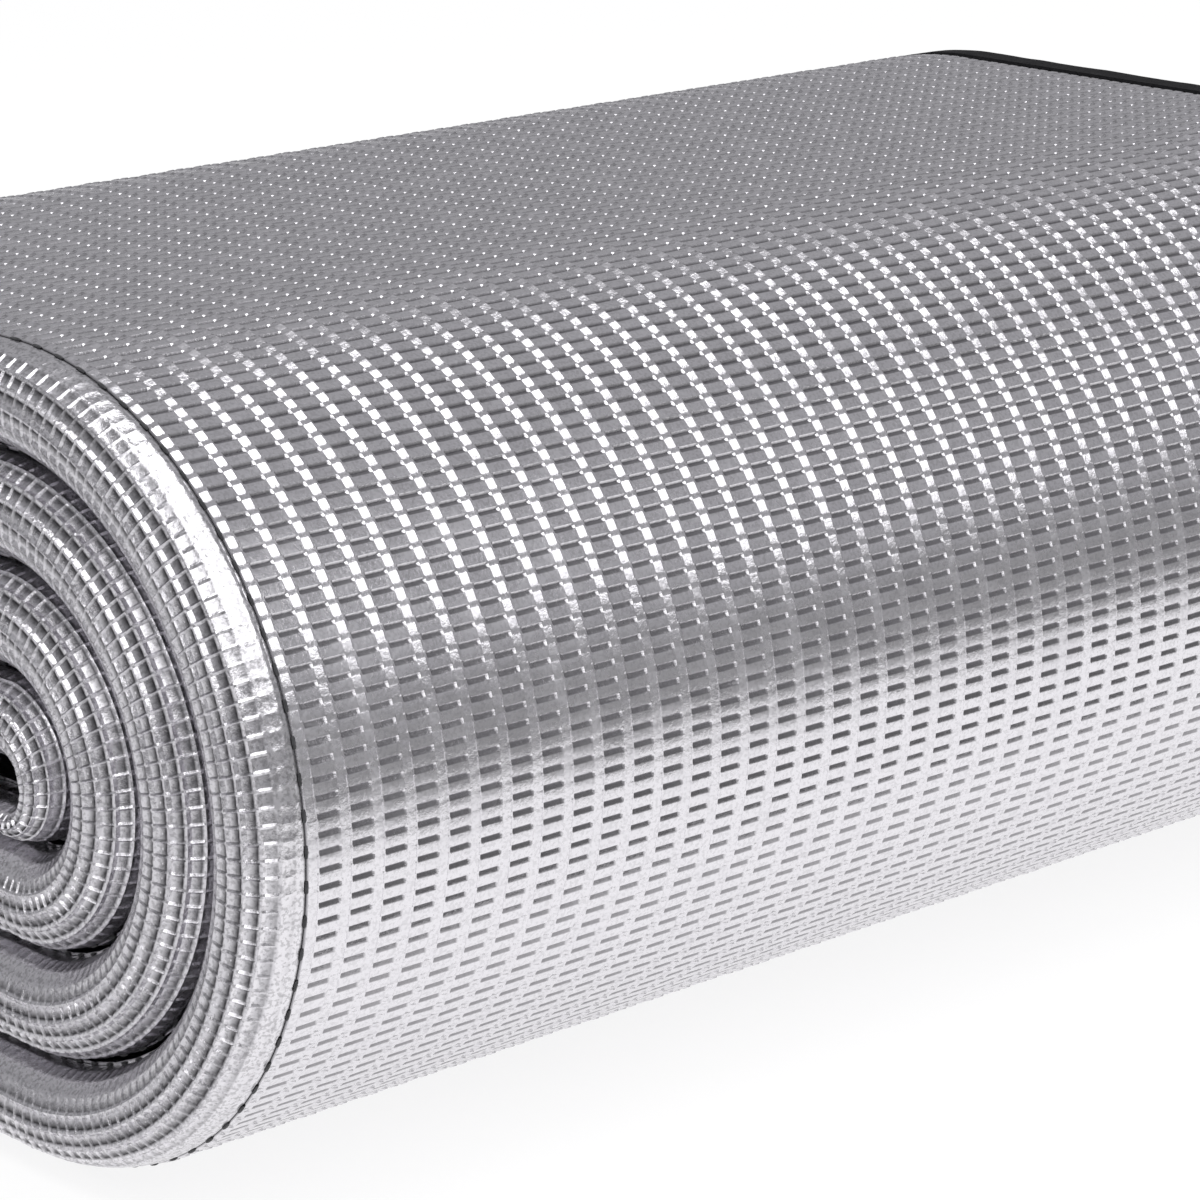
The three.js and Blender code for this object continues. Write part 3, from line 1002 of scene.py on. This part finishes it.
def end_rows(outward_y, at_y, step, step_length):
    """Half-circles from one corner to the other, at the outer end or at the inner one."""
    cells = np.arange(int(2 * SEAM_X / CELL_ALONG)) * CELL_ALONG
    middle_x = (cells[:, None] + EDGE_IN_ROW).ravel() - SEAM_X
    poses = [(-SEAM_X, -math.cos(s), math.sin(s), 0.0) for s in CORNER_TURNS[:-1]]
    poses += [(px, 0.0, 1.0, 1.0) for px in middle_x[middle_x < SEAM_X - CORNER_CLEAR]]
    poses += [(SEAM_X, math.sin(s), math.cos(s), 0.0) for s in CORNER_TURNS]
    section = round_section(1)
    reach = section["x"] - SEAM_X
    rows = []
    for px, toward_x, toward_y, inside in poses:
        held = np.where(reach < 0, reach * inside, reach)
        xs = px + held * toward_x
        ys = at_y + outward_y * held * toward_y
        out_x = section["outward"][:, 0] * toward_x
        out_y = section["outward"][:, 0] * toward_y * outward_y
        same = np.ones(len(xs))
        rows.append(
            {
                "place": np.stack([xs, ys, section["z"]], axis=1),
                "outward": np.stack([out_x, out_y, section["outward"][:, 2]], axis=1),
                "relief": section["relief"] * inside,
                "across": section["across"],
                "seam": section["seam"],
                "along": same * (px + SEAM_X),
                "at": same * at_y,
                "step": same * step,
                "step_length": same * step_length,
            }
        )
    return rows


ENDS = (
    ("outer_end", "outer_end_film", -1, 0.0, 0.0, OUTER_END_STEP),
    ("inner_end", "inner_end_film", 1, PAD_LENGTH, LAST_STEP, FLAT),
)
for name, node, outward_y, at_y, step, step_length in ENDS:
    end = swept(name, end_rows(outward_y, at_y, step, step_length))
    emboss_and_roll(end, EDGE_CELL, edge_film)
    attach(end, "roll")
    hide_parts(node)

# %% [markdown]
# ## The foam
#
# Inside the film is closed-cell foam, a springy plastic full of tiny sealed bubbles. None of it
# shows, but the pad would be hollow without it, so it is made as one smooth body a hair smaller
# than the film, with its own grain of small cells.

# %% Foam material
BUBBLES_PER_METRE = 1400
FOAM_TONES = (0.80, 0.80, 0.82), (0.92, 0.92, 0.93)
foam, tree, shader = mottled("closed-cell foam", 60, 3, *FOAM_TONES)
bubbles = tree.nodes.new("ShaderNodeTexVoronoi")
bubbles.inputs["Scale"].default_value = BUBBLES_PER_METRE
where = tree.nodes.new("ShaderNodeTexCoord")
tree.links.new(where.outputs["Object"], bubbles.inputs["Vector"])
tree.links.new(bumped(tree, bubbles.outputs["Distance"], distance=0.0002), shader.inputs["Normal"])
foam_dullness = spread(tree, noise(tree, scale=200, detail=2), 0.8, 0.95)
tree.links.new(foam_dullness, shader.inputs["Roughness"])

# %% Foam core
FOAM_CLEAR = 0.0002
FOAM_RADIUS = NOSE - SKIN - FOAM_CLEAR
ROUND_POINTS = 9


def foam_row(along, step, metres, at, radius):
    """One rounded section of the foam, of a given half thickness."""
    angles = np.linspace(0, math.pi, ROUND_POINTS)
    xs = SEAM_X + radius * np.sin(angles)
    zs = -NOSE + radius * np.cos(angles)
    xs = np.concatenate([xs, -xs[::-1], [SEAT_X - SEAT_RAMP, SEAT_X]])
    zs = np.concatenate([zs, zs[::-1], [-NOSE + radius] * 2])
    same = np.ones(len(xs))
    return {
        "place": np.stack([xs, same * along, zs], axis=1),
        "at": same * at,
        "step": same * step,
        "step_length": same * metres,
    }


foam_rows = []
rounding = np.radians(np.array([75, 55, 35, 15]))
for turned in rounding:
    beyond = -FOAM_RADIUS * math.sin(turned)
    foam_rows.append(foam_row(beyond, 0, OUTER_END_STEP, 0, FOAM_RADIUS * math.cos(turned)))
for along in COARSE_ROWS:
    found, metres = steps_for(np.array([along]))
    foam_rows.append(foam_row(along, found[0], metres[0], along, FOAM_RADIUS))
for turned in (0, *rounding[::-1]):
    beyond = PAD_LENGTH + FOAM_RADIUS * math.sin(turned)
    radius_here = FOAM_RADIUS * math.cos(turned)
    foam_rows.append(foam_row(beyond, LAST_STEP, FLAT, PAD_LENGTH, radius_here))
foam_core = swept("foam_core_body", foam_rows)
add_tree(foam_core, roll_tree, ROLL, foam)
plain_mesh(foam_core)
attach(foam_core, "roll")
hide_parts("foam_core")

# %% [markdown]
# ## The stitches
#
# The film's panels are sewn where they meet, with dark thread. Each stitch is a short length that
# dips into the film at both ends. Thousands of them follow the seams, so one small capsule is
# copied onto points along each seam by a tree, while the seam is still flat and straight, and
# the roll-up tree then bends them all into place.

# %% Stitch tree
CAPSULE_SIDES = 6
CAPSULE_RINGS = 5
stitch_tree, stitch_entry, stitch = new_tree("stitches", ["Length", "Width", "Turned"])
ball = stitch_tree.nodes.new("GeometryNodeMeshUVSphere")
ball.inputs["Segments"].default_value = CAPSULE_SIDES
ball.inputs["Rings"].default_value = CAPSULE_RINGS
ball.inputs["Radius"].default_value = 0.5
sizes = stitch_tree.nodes.new("ShaderNodeCombineXYZ")
for size_name, axis in (("Width", "X"), ("Length", "Y"), ("Width", "Z")):
    stitch_tree.links.new(stitch[size_name].socket, sizes.inputs[axis])
spin = stitch_tree.nodes.new("ShaderNodeCombineXYZ")
stitch_tree.links.new(stitch["Turned"].socket, spin.inputs["Z"])
copies = stitch_tree.nodes.new("GeometryNodeInstanceOnPoints")
stitch_tree.links.new(stitch_entry.outputs["Geometry"], copies.inputs["Points"])
stitch_tree.links.new(ball.outputs["Mesh"], copies.inputs["Instance"])
stitch_tree.links.new(sizes.outputs[0], copies.inputs["Scale"])
stitch_tree.links.new(spin.outputs[0], copies.inputs["Rotation"])
end_tree(stitch_tree, stitch_entry, copies.outputs["Instances"])
print("stitch tree has", len(stitch_tree.nodes), "nodes")

# %% Thread material
THREAD_TONES = (0.015, 0.015, 0.017), (0.05, 0.05, 0.055)
thread, tree, shader = mottled("polyester thread", 500, 2, *THREAD_TONES)
shader.inputs["Roughness"].default_value = 0.7
shader.inputs["Sheen Weight"].default_value = 0.3
fuzz = bumped(tree, noise(tree, scale=5000, detail=1), distance=0.00008)
tree.links.new(fuzz, shader.inputs["Normal"])

# %% A seam of stitches
STITCH = {"Length": 0.0036, "Width": 0.0008}


def seam(name, xs, ys, z, turned):
    """Stitches at flat places, rolled up with the pad."""
    found, metres = steps_for(ys)
    mesh = bpy.data.meshes.new(name)
    places = np.stack([xs, ys, np.full(len(xs), z)], axis=1)
    mesh.from_pydata(places.tolist(), [], [])
    for key_name, values in (("at", ys), ("step", found), ("step_length", metres)):
        layer = mesh.attributes.new(key_name, "FLOAT", "POINT")
        layer.data.foreach_set("value", np.asarray(values, np.float32))
    piece = bpy.data.objects.new(name, mesh)
    bpy.context.collection.objects.link(piece)
    add_tree(piece, stitch_tree, {**STITCH, "Turned": turned}, thread)
    add_tree(piece, roll_tree, ROLL, thread)
    plain_mesh(piece)
    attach(piece, "roll")
    return piece


print("a stitch is", STITCH["Length"], "m long")

# %% Seams along the edges and across the ends
STITCH_PITCH = 2 * CELL_ALONG
SEAM_IN = 0.00075
THREAD_IN = 0.0007
END_IN = 0.0004
SEAM_MIDDLE = SEAM_X - SEAM_IN
STITCH_Z = {"needle": -THREAD_IN, "bobbin": -THICK + THREAD_IN}
EDGE_START, EDGE_LEFT_OVER = 0.0035, 0.004
ACROSS_START, ACROSS_LEFT_OVER = 0.005, 0.006


def stitch_places(start, length):
    """Places for as many stitches as a seam's length holds."""
    return start + np.arange(int(length / STITCH_PITCH)) * STITCH_PITCH


along_seam = stitch_places(EDGE_START, PAD_LENGTH - EDGE_LEFT_OVER)
across_seam = stitch_places(ACROSS_START - SEAM_X, 2 * SEAM_X - ACROSS_LEFT_OVER)
for kind, z_at in STITCH_Z.items():
    for side, word in ((-1, "left"), (1, "right")):
        xs = np.full(len(along_seam), side * SEAM_MIDDLE)
        piece = seam(f"{word}_{kind}_stitches", xs, along_seam, z_at, 0.0)
        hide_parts(f"{word}_edge_{kind}_thread")
    for word, at_y in (("outer", END_IN), ("inner", PAD_LENGTH - END_IN)):
        ys = np.full(len(across_seam), at_y)
        piece = seam(f"{word}_end_{kind}_stitches", across_seam, ys, z_at, math.pi / 2)
        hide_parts(f"{word}_end_{kind}_thread")
print("stitches on an edge:", len(along_seam), "and across an end:", len(across_seam))

# %% [markdown]
# ## The elastic band
#
# A band of black braided elastic goes round the far end of the roll and keeps it shut. It is
# taut, so it runs straight where the pad's outer end makes a step, and it is the outline that a
# string pulled round the roll would take. Its warp makes fine ribs along its length, and the
# emboss tree can make those too, with other sizes.

# %% Elastic material
ELASTIC_TONES = (0.004, 0.004, 0.005), (0.016, 0.016, 0.018)
elastic, tree, shader = mottled("black braided elastic", 1500, 2, *ELASTIC_TONES)
elastic_dullness = spread(tree, noise(tree, scale=300, detail=2), 0.75, 0.92)
tree.links.new(elastic_dullness, shader.inputs["Roughness"])
shader.inputs["Specular IOR Level"].default_value = 0.25
weave = bumped(tree, noise(tree, scale=4000, detail=1), distance=0.00006)
tree.links.new(weave, shader.inputs["Normal"])

# %% The line that the band takes
BAND_WIDTH = 0.013
BAND_THICK = 0.0012
BAND_CLEAR = 0.0004
BAND_X = SEAT_X + 0.0003
LINE_POINTS = 900


def rolled_line(lengths, depths):
    """Points of the pressed outer turn, in the plane across the roll."""
    found = np.interp(lengths, FINE_LENGTH, FINE_STEPS)
    found = np.where(lengths < 0, lengths / OUTER_END_STEP, found)
    turn = np.floor(found / STEPS_PER_TURN)
    left_over = found - turn * STEPS_PER_TURN
    side = 1 - 2 * np.clip(left_over - BACK_END, 0, 1) + 2 * np.clip(left_over - FRONT_END, 0, 1)
    turned = angle_at(found)
    press = BAND_SEAT * (1 - depths / (THICK - SKIN)).clip(0)
    far = radius_at(turned / 360) - depths - press
    theta = np.radians(turned + START_ANGLE)
    return np.stack([side * FLAT / 2 + far * np.cos(theta), far * np.sin(theta)], axis=1)


def hull(points):
    """The taut line round some points, anticlockwise."""
    ordered = sorted(map(tuple, points))

    def chain(points_in):
        kept = []
        for p in points_in:
            while len(kept) > 1:
                (ax, ay), (bx, by) = kept[-2:]
                if (bx - ax) * (p[1] - ay) - (by - ay) * (p[0] - ax) > 1e-12:
                    break
                kept.pop()
            kept.append(p)
        return kept[:-1]

    return np.array(chain(ordered) + chain(ordered[::-1]))


end_angles = np.radians(np.arange(0, 91, 15))
end_line = rolled_line(-NOSE * np.sin(end_angles), NOSE * (1 - np.cos(end_angles)))
one_turn = np.interp(STEPS_PER_TURN, FINE_STEPS, FINE_LENGTH)
turn_line = rolled_line(np.linspace(0, one_turn, LINE_POINTS), np.zeros(LINE_POINTS))
taut = hull(np.concatenate([end_line, turn_line]))
closed = np.concatenate([taut, taut[:1]])
run = np.concatenate([[0], np.cumsum(np.linalg.norm(np.diff(closed, axis=0), axis=1))])
BAND_LENGTH = run[-1]
print("the band is", round(BAND_LENGTH, 4), "m round")

# %% The band's line in even steps, and where its two ends lap
BAND_ROWS = 620
LAP_AT = 37.5
LAP_REACH = 8
band_at = np.linspace(0, BAND_LENGTH, BAND_ROWS, endpoint=False)
line = np.stack([np.interp(band_at, run, closed[:, i]) for i in (0, 1)], axis=1)
tangent = np.roll(line, -1, axis=0) - np.roll(line, 1, axis=0)
tangent /= np.linalg.norm(tangent, axis=1)[:, None]
normal = np.stack([tangent[:, 1], -tangent[:, 0]], axis=1)
lap_angle = np.degrees(np.arctan2(line[:, 1], line[:, 0] - FLAT / 2))
from_lap = np.abs(lap_angle - LAP_AT)
lap = np.clip(LAP_REACH - from_lap, 0, 1)
print("the lap covers", int((lap > 0).sum()), "of", BAND_ROWS, "rows")

# %% The band's mesh
RIBS = 11
RIB_PITCH = BAND_WIDTH / RIBS
RIB_POINTS = np.array([0.0, 0.35, 0.65])
RIB_DEPTH = 0.00025
INNER_POINTS = 6
CURL = 0.8


def band_row(i):
    """One section of the band: ribbed outside, plain inside, curling over the pad's edge."""
    ribs = ((np.arange(RIBS)[:, None] + RIB_POINTS) * RIB_PITCH).ravel()
    outer = np.append(ribs, BAND_WIDTH)
    across = np.concatenate([outer, np.linspace(BAND_WIDTH, 0, INNER_POINTS)])
    past = np.clip(BAND_X + across - SEAM_X, 0, None)
    drop = NOSE - np.sqrt(NOSE**2 - past**2)
    plain = BAND_CLEAR + BAND_THICK * (1 + lap[i]) - RIB_DEPTH
    out = np.concatenate([np.full(len(outer), plain), np.full(INNER_POINTS, BAND_CLEAR)])
    spots = line[i] + (out - drop * CURL)[:, None] * normal[i]
    same = np.ones(len(across))
    return {
        "place": np.stack([BAND_X + across, MIDDLE_Y + spots[:, 0], MIDDLE_Z + spots[:, 1]], axis=1),
        "outward": np.stack([same * 0, same * normal[i, 0], same * normal[i, 1]], axis=1),
        "relief": np.concatenate([[0], np.ones(len(outer) - 2), [0], np.zeros(INNER_POINTS)]),
        "seam": same * 0,
        "across": across,
        "along": same * band_at[i],
    }


band_rows = [band_row(i) for i in range(BAND_ROWS)]
elastic_band = swept("elastic_band_braid", band_rows, ring_shut=True)
BRAID = {
    **EDGE_CELL,
    "Pitch across": RIB_PITCH,
    "Pitch along": 0.0032,
    "Groove": 0.0,
    "Bead width": RIB_PITCH,
    "Bead height": 0.00012,
    "Rib height": 0.0,
}
add_tree(elastic_band, emboss_tree, BRAID, elastic)
plain_mesh(elastic_band)
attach(elastic_band, "band")
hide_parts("elastic_band")

# %% [markdown]
# ## The bartack
#
# The band's two ends lie one on the other at the back of the roll and are held by a bartack, a
# dense block of stitches. Its points lie in three columns over the lap, and the stitch tree lays
# a capsule on each, straight across the band.

# %% Bartack
BAR_ROWS = 22
BAR_COLUMNS = 3
BAR_HALF = 0.0062
BAR_START = 0.0035
BAR_PITCH = 0.003
BAR_LIFT = 0.0001
BAR_STITCH = {"Length": 0.0034, "Width": 0.00055, "Turned": math.pi / 2}
lap_i = int(np.argmin(from_lap))
bar_places = []
for offset in np.linspace(-BAR_HALF, BAR_HALF, BAR_ROWS):
    lifted = line[lap_i] + tangent[lap_i] * offset
    lifted = lifted + normal[lap_i] * (BAND_CLEAR + 2 * BAND_THICK + BAR_LIFT)
    for column in range(BAR_COLUMNS):
        bar_x = BAND_X + BAR_START + BAR_PITCH * column
        bar_places.append((bar_x, MIDDLE_Y + lifted[0], MIDDLE_Z + lifted[1]))
bar_mesh = bpy.data.meshes.new("bartack_stitches")
bar_mesh.from_pydata(bar_places, [], [])
bartack = bpy.data.objects.new("bartack_stitches", bar_mesh)
bpy.context.collection.objects.link(bartack)
add_tree(bartack, stitch_tree, BAR_STITCH, thread)
plain_mesh(bartack)
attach(bartack, "band")
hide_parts("band_bartack")
